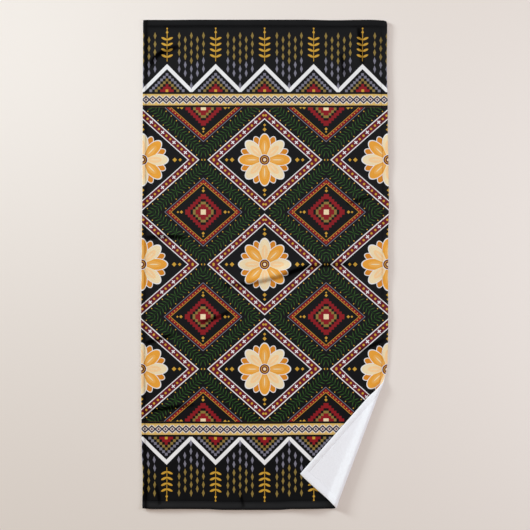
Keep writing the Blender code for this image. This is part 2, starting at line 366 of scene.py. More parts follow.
def hem_relief(u, v):
    """How much thicker the hems are than plain cloth, and thinner at their stitching."""
    hem = soft_step(1 - past_hems(u, v).min(axis=0) / GROOVE_REACH)
    return HEM_EXTRA * hem - GROOVE_DEPTH * seam_groove(u, v)


def back_hem_relief(u, v):
    """The same on the back, where each hem is a low pillow with its crest near the edge."""
    inside = from_edge(u, v)
    share = inside / (inside - past_hems(u, v).min(axis=0) + GROOVE_REACH)
    outer = 1 - BACK_HEM_FLATTER * np.clip(1 - share / BACK_HEM_CREST, 0, 1) ** 2
    inner = 1 - np.clip((share - BACK_HEM_CREST) / (1 - BACK_HEM_CREST), 0, 1) ** 2
    return BACK_HEM_EXTRA * np.minimum(outer, inner) - BACK_GROOVE_DEPTH * seam_groove(u, v)


def roll_radius(along):
    """The radius of the rolled edge, which opens out towards the bottom of the towel."""
    part = np.clip(along / FOLD_RUN, 0, 1)
    return ROLL_RADIUS_TOP + part * (ROLL_RADIUS_BOTTOM - ROLL_RADIUS_TOP)


def fold_sections(along):
    """The cloth's way round the folded corner, as (turn, length) sections of even curvature."""
    radius = roll_radius(along)
    lead_in = LEAD_IN_STRETCH * radius
    crown = lead_in + (radius - lead_in) * math.cos(LEAD_IN_TURN) + radius * math.cos(DESCENT_TURN)
    settle_drop = SETTLE_RADIUS * (1 - math.cos(DESCENT_TURN))
    slope = (crown - settle_drop - (2 * THICKNESS + FLAP_GAP)) / math.sin(DESCENT_TURN)
    roll_turn = math.pi + DESCENT_TURN - LEAD_IN_TURN
    return (
        (LEAD_IN_TURN, LEAD_IN_TURN * lead_in),
        (roll_turn, roll_turn * radius),
        (0.0, slope),
        (-DESCENT_TURN, DESCENT_TURN * np.full_like(radius, SETTLE_RADIUS)),
    )


def lift_off(along):
    """Where the cloth leaves the floor, as a distance across from the fold's outermost line."""
    return -roll_radius(along) * (1 + (LEAD_IN_STRETCH - 1) * math.sin(LEAD_IN_TURN))


def round_the_fold(past, along):
    """The place across the fold, height and heading of cloth that lies this far past its lift-off."""
    across = lift_off(along) + np.minimum(past, 0)
    height = np.zeros(past.shape)
    heading = np.zeros(past.shape)
    left = np.maximum(past, 0)
    for turn, length in fold_sections(along):
        reach = np.minimum(left, length)
        if turn:
            radius = length / turn
            turned = heading + reach / radius
            across += radius * (np.sin(turned) - np.sin(heading))
            height += radius * (np.cos(heading) - np.cos(turned))
            heading = turned
        else:
            across += reach * np.cos(heading)
            height += reach * np.sin(heading)
        left = left - reach
    return across + left * np.cos(heading), height + left * np.sin(heading), heading


def back_of_cloth(u, v):
    """The place of each point of the cut cloth on its back, how far it is turned over, 0 to 1, and how
    far it lies past its lift-off.
    """
    x, y = uneven_outline(u, v)
    from_top = np.stack((x - FOLD_TOP[0], y - FOLD_TOP[1]))
    along = FOLD_ALONG @ from_top
    past = FOLD_ACROSS @ from_top - lift_off(along)
    across, height, heading = round_the_fold(past, along)
    turned = (1 - np.cos(heading)) / 2
    turned_over = np.maximum(past - math.pi / 2 * roll_radius(along), 0)
    along = along - FLAP_SKEW * turned_over
    folded_x, folded_y = (FOLD_TOP + np.outer(along, FOLD_ALONG) + np.outer(across, FOLD_ACROSS)).T
    curl_below = floor_curl(folded_x, folded_y, across - lift_off(along))
    flat_z = crease_shape(x, y)[0] + floor_curl(u, v, past)
    place = np.where(past > 0, (folded_x, folded_y, height + curl_below * turned), (x, y, flat_z)).T
    return place, turned, past


def lumpiness(u, v, lumps):
    """The summed height of several sizes of lump."""
    return sum(height * soft_noise(u, v, size, seed) for size, height, seed in lumps)


def face_heights(u, v, turned):
    """How far the front and the back of the cloth lie from the sheet's own surface."""
    front = THICKNESS + (hem_relief(u, v) + lumpiness(u, v, FRONT_LUMPS)) * (1 - turned)
    back = -(back_hem_relief(u, v) + lumpiness(u, v, BACK_LUMPS)) * turned
    middle = (front + back) / 2
    rounding = np.sqrt(1 - (1 - np.clip(from_edge(u, v) / ROUNDED_EDGE, 0, 1)) ** 2)
    return middle + (front - middle) * rounding, middle + (back - middle) * rounding


def cloth_frame(u, v):
    """The back's place at each point, the way from it to the front, and how far it is turned over.

    Where the cloth lies flat, that way is straight up, so that no ridge's steep side crosses itself.
    """
    place, turned, past = back_of_cloth(u, v)
    across = back_of_cloth(u + NORMAL_STEP, v)[0] - back_of_cloth(u - NORMAL_STEP, v)[0]
    upward = back_of_cloth(u, v + NORMAL_STEP)[0] - back_of_cloth(u, v - NORMAL_STEP)[0]
    normal = np.cross(across, upward)
    normal /= np.linalg.norm(normal, axis=1)[:, None]
    leaning = soft_step(1 + past / UPRIGHT_BEFORE)[:, None]
    outward = normal * leaning + np.array((0.0, 0.0, 1.0)) * (1 - leaning)
    return place, outward / np.linalg.norm(outward, axis=1)[:, None], turned


def over_cloth(u, v, rise, on_front):
    """Points that stand this far out of the front of the cloth, or out of its back where that is turned
    up. Where the back lies down they stay inside it, so that none goes through the floor.
    """
    place, normal, turned = cloth_frame(u, v)
    front, back = face_heights(u, v, turned)
    sunk = (STITCH_RADIUS + STITCH_RISE) * (1 - turned)
    height = front + rise if on_front else back - rise + sunk
    return place + normal * height[:, None]


def grid_lines(half, low_hem, high_hem):
    """Where the mesh is cut across: close together at the edges and seams, even between them."""
    low, high = (
        [step for step in EDGE_LINES if step < hem + SEAM_LINES[0]] + [hem + step for step in SEAM_LINES]
        for hem in (low_hem, high_hem)
    )
    fixed = [step - half for step in low] + [half - step for step in reversed(high)]
    lines = [fixed[0]]
    for start, end in zip(fixed, fixed[1:]):
        steps = max(1, round((end - start) / CELL))
        lines.extend(start + (end - start) * (np.arange(steps) + 1) / steps)
    return np.array(lines)


def all_parts(mesh):
    """All the parts that a mesh is made of."""
    return mesh.verts[:] + mesh.edges[:] + mesh.faces[:]


def cut_fold_lines(mesh):
    """Cuts the flat sheet along the lines that the rolled edge turns on."""
    ends = np.array((0.0, FOLD_RUN))
    lines = [lift_off(ends)]
    for (_, length), count in zip(fold_sections(ends), FOLD_STEPS):
        for _ in range(count):
            lines.append(lines[-1] + length / count)
    for top_reach, bottom_reach in lines:
        top = FOLD_TOP + top_reach * FOLD_ACROSS
        bottom = FOLD_BOTTOM + bottom_reach * FOLD_ACROSS
        square = (bottom[1] - top[1], top[0] - bottom[0], 0)
        bmesh.ops.bisect_plane(mesh, geom=all_parts(mesh), dist=SNAP, plane_co=(*top, 0), plane_no=square)


def halve_cells(mesh, reach):
    """Halves the cells within this reach of a ridge's route."""
    mesh.faces.ensure_lookup_table()
    x, y = np.array([face.calc_center_median()[:2] for face in mesh.faces]).T
    edges = set()
    for _, _, _, _, *route in CREASES:
        close = in_reach(route, x, y, reach)
        leeward, _ = near_route(route, x[close], y[close])
        for index in close[np.abs(leeward) < reach]:
            edges.update(mesh.faces[index].edges)
    bmesh.ops.subdivide_edges(mesh, edges=list(edges), cuts=1, use_grid_fill=True)


def split_corners(mesh):
    """Cuts each corner's cell from the corner inwards, so that the two layers' faces there stay apart."""
    for corner in mesh.verts[:]:
        if len(corner.link_edges) == 2:
            cell = corner.link_faces[0]
            inner = next(vertex for vertex in cell.verts if from_edge(*vertex.co[:2]) > WELD)
            bmesh.ops.connect_verts(mesh, verts=[corner, inner])


def flat_sheet():
    """The cut cloth as one flat layer of fine cells."""
    across = grid_lines(HALF_WIDTH, LEFT_HEM, RIGHT_HEM)
    along = grid_lines(HALF_LENGTH, BOTTOM_HEM, TOP_HEM)
    mesh = bmesh.new()
    bmesh.ops.create_grid(mesh, x_segments=len(across) - 1, y_segments=len(along) - 1, size=1)
    for vertex in mesh.verts:
        column = round((vertex.co.x + 1) / 2 * (len(across) - 1))
        row = round((vertex.co.y + 1) / 2 * (len(along) - 1))
        vertex.co = (across[column], along[row], 0)
    halve_cells(mesh, FINE_REACH)
    halve_cells(mesh, FINEST_REACH)
    cut_fold_lines(mesh)
    bmesh.ops.triangulate(mesh, faces=[face for face in mesh.faces if len(face.verts) > 4])
    split_corners(mesh)
    return mesh


def closed_cloth():
    """The whole cloth: a front and a back layer that meet along its rounded edges."""
    mesh = flat_sheet()
    back_layer = set(bmesh.ops.duplicate(mesh, geom=all_parts(mesh))["geom"])
    back_faces = [face for face in mesh.faces if face in back_layer]
    bmesh.ops.reverse_faces(mesh, faces=back_faces)
    for face in back_faces:
        face.material_index = 1
    u, v, _ = np.array([vertex.co for vertex in mesh.verts]).T
    is_back = np.array([vertex in back_layer for vertex in mesh.verts])
    place, normal, turned = cloth_frame(u, v)
    front, back = face_heights(u, v, turned)
    placed = place + normal * np.where(is_back, back, front)[:, None]
    # The painted shade and painted highlight of the ridges and the stitching, kept on the cloth for its
    # print
    painted_shading = np.maximum(crease_shape(*uneven_outline(u, v))[1], seam_painted_shade(u, v)) * (1 - turned)
    for name, values in (("cloth_across", u), ("cloth_along", v), ("painted_shading", painted_shading)):
        layer = mesh.verts.layers.float.new(name)
        for vertex, value in zip(mesh.verts, values):
            vertex[layer] = value
    for vertex, point in zip(mesh.verts, placed):
        vertex.co = point
    rim = [vertex for vertex, inside in zip(mesh.verts, from_edge(u, v)) if inside < WELD]
    bmesh.ops.remove_doubles(mesh, verts=rim, dist=WELD)
    made = bpy.data.meshes.new("towel_cloth")
    mesh.to_mesh(made)
    mesh.free()
    return made


def all_values(items, name, kind=np.int32):
    """One value of each of a mesh's items, by the value's name."""
    values = np.empty(len(items), kind)
    items.foreach_get(name, values)
    return values


def add_map(mesh, name, across, along):
    """A map of the mesh, from the two values of each face corner."""
    layer = mesh.uv_layers.new(name=name)
    layer.data.foreach_set("uv", np.stack((across, along), axis=1).astype(np.float32).ravel())


def add_cloth_maps(mesh):
    """Two maps: the place on the flat cloth in metres, and a front and a back side by side."""
    corners = all_values(mesh.loops, "vertex_index")
    across, along = (
        all_values(mesh.attributes[name].data, "value", np.float32)[corners]
        for name in ("cloth_across", "cloth_along")
    )
    add_map(mesh, "Cloth", across, along)
    side = np.repeat(all_values(mesh.polygons, "material_index"), all_values(mesh.polygons, "loop_total"))
    across = (across + HALF_WIDTH) / WIDTH * (0.5 - 2 * MAP_MARGIN) + MAP_MARGIN + side * 0.5
    along = (along + HALF_LENGTH) / LENGTH * (1 - 2 * MAP_MARGIN) + MAP_MARGIN
    add_map(mesh, "OFBake", across, along)


def srgb(*channels):
    """A colour as it looks on a screen, of channels from 11 to 255, made linear."""
    return (*(((channel / 255 + 0.055) / 1.055) ** 2.4 for channel in channels), 1.0)


BLACK = srgb(22, 22, 23)
MAROON = srgb(104, 28, 42)
RED = srgb(138, 30, 36)
GOLD = srgb(205, 158, 58)
DULL_GOLD = srgb(140, 118, 62)
PALE_GOLD = srgb(216, 180, 106)
WHITE = srgb(236, 235, 236)
CREAM = srgb(238, 218, 178)
PALE_CREAM = srgb(228, 219, 208)
PEACH = srgb(246, 204, 152)
ORANGE = srgb(232, 160, 58)
AMBER = srgb(236, 172, 84)
DEEP_ORANGE = srgb(212, 132, 36)
GREEN = srgb(28, 58, 25)
LEAF_LIGHT = srgb(74, 104, 50)
GREY = srgb(124, 122, 136)
LILAC = srgb(58, 52, 72)
THREAD_WHITE = srgb(246, 246, 250)
THREAD_SHADOW = srgb(209, 209, 213)
TERRY_WHITE = (0.945, 0.955, 1.0, 1)
TERRY_SHADOW = (0.8, 0.81, 0.88, 1)
FLOOR_COLOUR = (0.8, 0.737, 0.6875, 1)
SKY_COLOUR = (1.0, 0.852, 0.728, 1)
SKY_STRENGTH = 0.473

# Painted sheen: the black pile is made a little greyer from this far below the middle upwards, and on the
# rounded low hem
PAINTED_SHEEN = (0.0058, 0.0058, 0.0061)
SHEEN_START = 0.6
SHEEN_RUN = 0.55
LOW_HEM_SHEEN = 2.0
LOW_HEM_CREST = 0.0145
LOW_HEM_SPREAD = 0.011

# Painted shade: the print is palest low down and this much darker high up, and darker still where ridges
# and stitching carry painted shade: a dark colour by nearly all of its light, and a light one by a third
TONE_LOW_DOWN = 1.04
PAINTED_SHADE_UPWARD = 0.1
SHADE_ON_DARK = 0.98
SHADE_ON_LIGHT = 0.34
LIGHTNESS_GAIN = 2.6

# The grain of pile, loops and thread, in cells a metre, how deep it is, and how much it shows in the tone
FIBRES = 900.0
FIBRE_TONE = 0.22
BRUSHED_PATCHES = 26.0
BRUSHED_TONE = 0.2
LEAST_TONE = 0.79
PILE = 620.0
PILE_DEPTH = 0.0006
LOOPS = 430.0
LOOP_DEPTH = 0.0011
LOOP_TONE = 0.32
LOOP_PATCHES = 40.0
LOOP_PATCH_TONE = 0.08
LEAST_LOOP_TONE = 0.72
LOOP_FIBRES = 1300.0
LOOP_FUZZ = 0.25
TWIST = 2200.0
TWIST_TONE = 0.3
LEAST_TWIST_TONE = 0.8
TWIST_DEPTH = 0.0001

# The print, in metres on the flat cloth: its lattice, its lozenges by half their width and height, the
# pale bands and what lies past them
PRINT_EDGE = 0.0007
LATTICE_ACROSS = WIDTH / 2
LATTICE_UP = 0.325
LOZENGE = (0.178, 0.158)
SMALL_LOZENGE = (0.121, 0.107)
FIELD_END = 0.4885
BAND_START = 0.495
BAND_END = 0.53
BAND_LINE = 0.0046
BAND_PITCH = WIDTH / 36
BAND_STEEPNESS = 0.9
ZIGZAG = WIDTH / 5
CREST = 0.086
COLUMN = ZIGZAG / 8
ROW = 0.026

# Layers of the print that lie inside each other: how far in each starts, and its colour
FRAME_LAYERS = ((0.0, WHITE), (0.0031, MAROON), (0.0213, WHITE), (0.024, BLACK))
SMALL_FRAME_LAYERS = ((0.0, GREY), (0.0018, BLACK), (0.0042, RED), (0.0128, GOLD), (0.0143, BLACK))
BAND_LAYERS = ((-0.0065, BLACK), (0.0, PALE_GOLD), (BAND_LINE, PALE_CREAM))
RING_LAYERS = ((0.0, WHITE), (0.0018, MAROON), (0.0056, GOLD), (0.008, MAROON), (0.0122, CREAM))

# Stepped layers, which each reach as many squares from the middle as the whole number below their own
STEPS = ((6.5, RED), (4.5, BLACK), (3.5, DULL_GOLD), (2.5, RED), (0.5, CREAM))
PEAK_STEPS = ((6.5, GREY), (5.5, BLACK), (4.5, DULL_GOLD), (3.5, BLACK), (2.5, RED), (0.5, GOLD))
STAIR = 0.008
PEAK_STAIR = ZIGZAG / 18
PEAK_BASE = 0.006

# Small gold shapes: how far each stands from the middle, and half its size
SPOTS_BESIDE = ((0.101, 0.007), (0.118, 0.0052))
SPOTS_ABOVE = ((0.0945, 0.0062), (0.1085, 0.0046))
SMALL_SPOTS_BESIDE = ((0.068, 0.0052), (0.079, 0.0036))
SMALL_SPOTS_ABOVE = ((0.066, 0.005), (0.075, 0.0032))
SPRIG_BEADS = ((0.193, 0.0036), (0.205, 0.0026))

# Ovals and diamonds, by half their length and half their width
BACK_PETAL_RIM = (0.027, 0.013)
BACK_PETAL = (0.0245, 0.0108)
PETAL = (0.0365, 0.019)
HEART = (0.0215, 0.0094)
VEIN = (0.0135, 0.0016)
VINE_LEAF = (0.0088, 0.0019)
VINE_LEAF_VEIN = (0.006, 0.0006)
BUD = (0.0015, 0.0022)
TOOTH = (0.0066, 0.0074)
BAND_DIAMOND = (0.004, 0.004)
DROP = (0.0045, 0.0117)
SPRIG_LEAF = (0.0094, 0.0034)

# How many small parts the print has a side, and how far in, out or past the band they lie. A leaf's
# place is along, out and turned by degrees
BEADS_A_SIDE = 15
CROSS_EVERY = 3.0
BEAD_LINE = 0.0121
SMALL_BEAD_LINE = 0.0085
BACK_PETAL_OUT = 0.052
PETAL_OUT = 0.046
HEART_OUT = 0.039
RINGS_OUT = 0.017
VINE_OUT = 0.0248
LEAVES_A_SIDE = 22
VINE_LEAF_PLACE = (-0.0008, 0.0086, 62)
BUD_PLACE = (0.0052, 0.019)
DROPS_START = 0.016
DROPS_END = 0.188
GREY_DROPS_END = 0.075
STEM_SPAN = (0.102, 0.202)
SPRIG_SPAN = (0.112, 0.184)
SPRIG_START = 0.12
SPRIG_PITCH = 0.018
SPRIG_LEAF_PLACE = (0.0092, -0.001, 24)

# Half the width of the print's lines and beads
PETAL_RIM = 0.0019
CROSS_ARM = 0.006
CROSS_LINE = 0.0016
BEAD = 0.0036
SMALL_BEAD = 0.0018
VINE_LINE = 0.0009
BAND_ZIGZAG = 0.0022
PEAK_LINE = 0.0056
STEM_LINE = 0.001


def feed(tree, node, entries):
    """Sets a node's inputs, by name or number, or links them to what other nodes put out."""
    for entry, value in dict(entries).items():
        value = value.socket if isinstance(value, Number) else value
        if isinstance(value, bpy.types.NodeSocket):
            tree.links.new(value, node.inputs[entry])
        else:
            node.inputs[entry].default_value = value


def new_node(tree, kind, entries=(), **settings):
    """A new shader node of this kind, with its settings and its inputs."""
    made = tree.nodes.new("ShaderNode" + kind)
    for name, value in settings.items():
        setattr(made, name, value)
    feed(tree, made, entries)
    return made


class Number:
    """A number that varies over the cloth: one node's output. Sums with it make further nodes."""

    def __init__(self, tree, socket):
        self.tree = tree
        self.socket = socket

    def work_out(self, operation, *others, clamp=False):
        entries = enumerate((self, *others))
        node = new_node(self.tree, "Math", entries, operation=operation, use_clamp=clamp)
        return Number(self.tree, node.outputs[0])

    __add__ = partialmethod(work_out, "ADD")
    __sub__ = partialmethod(work_out, "SUBTRACT")
    __rsub__ = partialmethod(work_out, "MULTIPLY_ADD", -1.0)
    __mul__ = partialmethod(work_out, "MULTIPLY")
    __truediv__ = partialmethod(work_out, "DIVIDE")
    __abs__ = partialmethod(work_out, "ABSOLUTE")
    times_plus = partialmethod(work_out, "MULTIPLY_ADD")
    at_least = partialmethod(work_out, "MAXIMUM")
    at_most = partialmethod(work_out, "MINIMUM")
    above = partialmethod(work_out, "GREATER_THAN")
    below = partialmethod(work_out, "LESS_THAN")
    floor = partialmethod(work_out, "FLOOR")

    # 1 for an odd whole number and 0 for an even one
    odd = partialmethod(work_out, "FLOORED_MODULO", 2.0)

    # A zigzag from 0 to half a pitch and back, 0 where this number is 0
    folded = partialmethod(work_out, "PINGPONG")

    def plus_times(self, other, factor):
        return other.times_plus(factor, self)

    def wrapped(self, pitch):
        """The place in a repeat, from minus half a pitch to half a pitch."""
        return self.work_out("WRAP", pitch / 2, -pitch / 2)

    def count(self, pitch):
        """The number of the nearest repeat."""
        return (self / pitch).work_out("ROUND")


def shown(inward):
    """A mask that is 1 inside a printed shape, from the distance in from its outline."""
    return inward.times_plus(1 / PRINT_EDGE, 0.5, clamp=True)


def distance(across, up):
    """How far a place lies from the middle."""
    return (across * across).plus_times(up, up).work_out("SQRT")


def diamond(across, up, half_width, half_height):
    """The distance in from the outline of a diamond."""
    reach = (1 / half_width**2 + 1 / half_height**2) ** -0.5
    norm = (abs(across) / half_width).plus_times(abs(up), 1 / half_height)
    return (1 - norm) * reach


def oval(across, up, half_width, half_height):
    """About the distance in from the outline of an oval."""
    return (1 - distance(across / half_width, up / half_height)) * min(half_width, half_height)


def from_leaf(along, out, place):
    """Where a spot lies along and across a leaf that has this place and turn."""
    leaf_along, leaf_out, turn = place
    cosine = math.cos(math.radians(turn))
    sine = math.sin(math.radians(turn))
    along = along - leaf_along
    out = out - leaf_out
    return (along * cosine).plus_times(out, sine), (out * cosine).plus_times(along, -sine)


def between(place, span):
    """A mask that is 1 from one end of a span to the other."""
    start, end = span
    return shown((end - start) / 2 - abs(place - (start + end) / 2))


def mix(factor, under, over):
    """A mix of two colours, with as much of the second as the factor says."""
    return new_node(factor.tree, "Mix", {0: factor, 6: under, 7: over}, data_type="RGBA").outputs[2]


def shade(colour, factor):
    """A colour made lighter or darker by a number near 1."""
    return new_node(factor.tree, "VectorMath", {0: colour, 3: factor}, operation="SCALE").outputs[0]


class Painting:
    """A colour that is painted over, shape by shape."""

    def __init__(self, ground):
        self.colour = ground

    def paint(self, mask, colour):
        self.colour = mix(mask, self.colour, colour)

    def paint_layers(self, inward, layers):
        for start, colour in layers:
            self.paint(shown(inward - start), colour)

    def paint_steps(self, level, steps):
        for highest, colour in steps:
            self.paint(level.below(highest), colour)

    def paint_spots(self, along, beside, spots):
        for reach, size in spots:
            self.paint(shown(diamond(along - reach, beside, size, size)), GOLD)


def in_lozenge(across, up, size):
    """The distance in from a lozenge's outline, the place along its side, and that side's length."""
    side = math.hypot(*size)
    along = (up * (size[1] / side)).plus_times(across, -size[0] / side)
    return diamond(across, up, *size), along, side


def paint_lozenge(work, across, up, other):
    """A large lozenge: a beaded frame round a flower."""
    inward, along, side = in_lozenge(across, up, LOZENGE)
    from_corner = along + LOZENGE[0] ** 2 / side
    work.paint_layers(inward, FRAME_LAYERS)
    pitch = side / BEADS_A_SIDE
    step = from_corner.wrapped(pitch)
    cross_here = from_corner.count(pitch).wrapped(CROSS_EVERY).work_out("COMPARE", 0.0, 0.5)
    off = inward - BEAD_LINE
    upright = (CROSS_LINE - abs(step)).at_most(CROSS_ARM - abs(off))
    level = (CROSS_ARM - abs(step)).at_most(CROSS_LINE - abs(off))
    work.paint(shown(upright.at_least(level)) * cross_here, WHITE)
    work.paint(shown(BEAD - distance(step, off)) * (1 - cross_here), GOLD)
    work.paint_spots(across, up, SPOTS_BESIDE)
    work.paint_spots(up, across, SPOTS_ABOVE)
    paint_flower(work, across, up, other)


def paint_flower(work, across, up, other):
    """A double flower: eight narrow petals behind eight broad ones, round a ringed middle."""
    radius = distance(across, up)
    angle = up.work_out("ARCTAN2", across)
    eighth = math.pi / 4

    def in_petal(turned, middle):
        return radius * turned.work_out("COSINE") - middle, radius * turned.work_out("SINE")

    along, beside = in_petal((angle - eighth / 2).wrapped(eighth), BACK_PETAL_OUT)
    work.paint(shown(oval(along, beside, *BACK_PETAL_RIM)), WHITE)
    work.paint(shown(oval(along, beside, *BACK_PETAL)), DEEP_ORANGE)
    along, beside = in_petal(angle.wrapped(eighth), PETAL_OUT)
    petal = oval(along, beside, *PETAL)
    work.paint(shown(petal), WHITE)
    diagonal = angle.count(eighth).odd()
    pale = diagonal + other - (diagonal * other) * 2.0
    work.paint(shown(petal - PETAL_RIM), mix(pale, CREAM, ORANGE))
    from_heart = along + (PETAL_OUT - HEART_OUT)
    work.paint(shown(oval(from_heart, beside, *HEART)), mix(pale, PEACH, AMBER))
    work.paint(shown(oval(from_heart, beside, *VEIN)), CREAM)
    work.paint_layers(RINGS_OUT - radius, RING_LAYERS)


def paint_vine(work, across, up):
    """A vine of leaf pairs in the lane between the large lozenges and the small ones."""
    inward, along, side = in_lozenge(across, up, LOZENGE)
    off = abs(inward + VINE_OUT)
    from_middle = abs(along + (LOZENGE[0] ** 2 / side - side / 2))
    pitch = side / LEAVES_A_SIDE
    step = (from_middle - pitch / 2).wrapped(pitch)
    in_leaf = from_leaf(step, off, VINE_LEAF_PLACE)
    work.paint(shown(VINE_LINE - off), GREEN)
    work.paint(shown(oval(*in_leaf, *VINE_LEAF)), GREEN)
    work.paint(shown(oval(*in_leaf, *VINE_LEAF_VEIN)), LEAF_LIGHT)
    bud_step = (from_middle - pitch).wrapped(pitch * 2)
    work.paint(shown(oval(bud_step - BUD_PLACE[0], off - BUD_PLACE[1], *BUD)), GOLD)


def paint_small_lozenge(work, across, up):
    """A small lozenge: a beaded red frame round a stepped diamond."""
    inward, along, side = in_lozenge(across, up, SMALL_LOZENGE)
    work.paint_layers(inward, SMALL_FRAME_LAYERS)
    from_bead = distance(along.wrapped(side / BEADS_A_SIDE), inward - SMALL_BEAD_LINE)
    work.paint(shown(SMALL_BEAD - from_bead), GOLD)
    work.paint_steps((across / STAIR).floor() + (up / STAIR).floor(), STEPS)
    work.paint_spots(across, up, SMALL_SPOTS_BESIDE)
    work.paint_spots(up, across, SMALL_SPOTS_ABOVE)


def paint_band(work, across, up):
    """The pale band at each end of the field: gold lines and a row of small diamonds."""
    off = up - (BAND_START + BAND_END) / 2
    inward = (BAND_END - BAND_START) / 2 - abs(off)
    work.paint_layers(inward, BAND_LAYERS)
    in_line = inward - BAND_LINE
    tooth = diamond(across.wrapped(BAND_PITCH), in_line, *TOOTH)
    work.paint(shown(tooth) * shown(in_line), PALE_GOLD)
    from_zigzag = abs(abs(off) - across.folded(BAND_PITCH / 2) * BAND_STEEPNESS)
    work.paint(shown(BAND_ZIGZAG - from_zigzag / math.hypot(1, BAND_STEEPNESS)), LILAC)
    step = (across - BAND_PITCH / 2).wrapped(BAND_PITCH)
    work.paint(shown(diamond(step, off, *BAND_DIAMOND)), MAROON)


def paint_end(work, across, beyond):
    """The end of the towel past the band: white peaks, and leaf sprigs in a net of narrow diamonds."""
    at_peak = across.wrapped(ZIGZAG)
    off = (beyond + across.folded(ZIGZAG / 2) - CREST) * math.sqrt(0.5)
    beside_peak = (abs(at_peak) / PEAK_STAIR + 0.5).floor()
    work.paint_steps(beside_peak + ((beyond - PEAK_BASE) / PEAK_STAIR).floor(), PEAK_STEPS)
    work.paint(shown(PEAK_LINE - abs(off)), WHITE)

    column = across.count(COLUMN)
    from_peak = column.folded(ZIGZAG / COLUMN / 2)
    in_row = beyond.plus_times(column.odd(), -ROW / 2).wrapped(ROW)
    centre = beyond - in_row
    rise = centre.plus_times(from_peak, COLUMN) - CREST
    beside = from_peak.above(1.5)
    above = rise.above(DROPS_START)
    inside = above * centre.below(DROPS_END) * beside
    drop = shown(diamond(across.wrapped(COLUMN), in_row, *DROP)) * inside
    work.paint(drop, mix(rise.below(GREY_DROPS_END), DULL_GOLD, GREY))

    work.paint(shown(STEM_LINE - abs(at_peak)) * between(beyond, STEM_SPAN), GOLD)
    leaf_step = (beyond - SPRIG_START).wrapped(SPRIG_PITCH)
    leaf = oval(*from_leaf(abs(at_peak), leaf_step, SPRIG_LEAF_PLACE), *SPRIG_LEAF)
    work.paint(shown(leaf) * between(beyond, SPRIG_SPAN), GOLD)
    for reach, radius in SPRIG_BEADS:
        work.paint(shown(radius - distance(at_peak, beyond - reach)), GOLD)


def printed_colour(across, along):
    """The whole print, as a colour at each place on the flat cloth."""
    work = Painting(BLACK)
    quarter_across = across.folded(LATTICE_ACROSS / 2)
    quarter_up = along.folded(LATTICE_UP / 2)
    other = (across.count(LATTICE_ACROSS) + along.count(LATTICE_UP)).odd()
    paint_vine(work, quarter_across, quarter_up)
    paint_small_lozenge(work, LATTICE_ACROSS / 2 - quarter_across, LATTICE_UP / 2 - quarter_up)
    paint_lozenge(work, quarter_across, quarter_up, other)
    end = Painting(BLACK)
    from_middle = abs(along)
    paint_end(end, across, from_middle - BAND_END)
    work.paint(shown(from_middle - FIELD_END), end.colour)
    paint_band(work, across, from_middle)
    return work.colour


def cloth_place(tree):
    """The place on the flat cloth, in metres: as one vector and as its two numbers."""
    place = new_node(tree, "UVMap", uv_map="Cloth").outputs["UV"]
    split = new_node(tree, "SeparateXYZ", {"Vector": place})
    return place, Number(tree, split.outputs[0]), Number(tree, split.outputs[1])


def new_material(name, entries):
    """A new material, with its tree and its Principled shader."""
    made = bpy.data.materials.new(name)
    made.use_nodes = True
    tree = made.node_tree
    shader = tree.nodes["Principled BSDF"]
    feed(tree, shader, entries)
    return made, tree, shader


def colour_and_bump(tree, shader, colour, height, depth):
    """Gives a shader its colour, and a bump over a height with its own depth in metres."""
    bump = new_node(tree, "Bump", {"Strength": 1.0, "Distance": depth, "Height": height})
    feed(tree, shader, {"Base Color": colour, "Normal": bump.outputs["Normal"]})


def noise(tree, place, scale, detail=2.0, roughness=0.5):
    """A noise texture's value over the cloth."""
    entries = {"Scale": scale, "Detail": detail, "Roughness": roughness, "Vector": place}
    return Number(tree, new_node(tree, "TexNoise", entries).outputs["Fac"])


def print_in_place(tree):
    """The place on the flat cloth, the print there with its painted sheen, and how far up the towel it is.
    """
    place, across, along = cloth_place(tree)
    # Painted sheen on the black: a grey added on the low hem's rounded crest and from below the middle
    # upwards
    from_crest = (along + (HALF_LENGTH - LOW_HEM_CREST)) / LOW_HEM_SPREAD
    on_low_hem = (from_crest * from_crest).times_plus(-LOW_HEM_SHEEN, LOW_HEM_SHEEN)
    upward = along.times_plus(1 / SHEEN_RUN, SHEEN_START / SHEEN_RUN, clamp=True)
    entries = {0: upward.at_least(on_low_hem), 1: PAINTED_SHEEN, 2: printed_colour(across, along)}
    sheened = new_node(tree, "VectorMath", entries, operation="MULTIPLY_ADD")
    return place, sheened.outputs[0], upward


def front_material():
    """Cut pile, printed: short fibres in uneven patches of brushing, with painted shade, a painted
    highlight and a painted sheen.
    """
    sheen = {"Sheen Weight": 0.003, "Sheen Roughness": 0.6, "Sheen Tint": (0.8, 0.8, 0.85, 1)}
    gloss = {"Roughness": 0.92, "Specular IOR Level": 0.01}
    made, tree, shader = new_material("printed_pile", gloss | sheen)
    place, colour, upward = print_in_place(tree)
    fibres = noise(tree, place, FIBRES)
    brushed_and_highlight = noise(tree, place, BRUSHED_PATCHES, 3.0)
    # Painted shade darkens the print at ridge feet and along stitching, and a painted highlight lightens
    # the ridges' rise
    painted_shading = Number(tree, new_node(tree, "Attribute", attribute_name="painted_shading").outputs["Fac"])
    lightness = Number(tree, new_node(tree, "RGBToBW", {"Color": colour}).outputs[0])
    light = (lightness * LIGHTNESS_GAIN).at_most(1.0)
    painted_shade = 1.0 - painted_shading * (light * (SHADE_ON_LIGHT - SHADE_ON_DARK) + SHADE_ON_DARK)
    # Painted shade: the print darker high up the towel
    shaded_upward = upward.times_plus(-PAINTED_SHADE_UPWARD, TONE_LOW_DOWN)
    tone = (fibres * FIBRE_TONE + (brushed_and_highlight * BRUSHED_TONE + LEAST_TONE)) * painted_shade * shaded_upward
    pile = noise(tree, place, PILE, 3.0, 0.6)
    colour_and_bump(tree, shader, shade(colour, tone), pile, PILE_DEPTH)
    return made


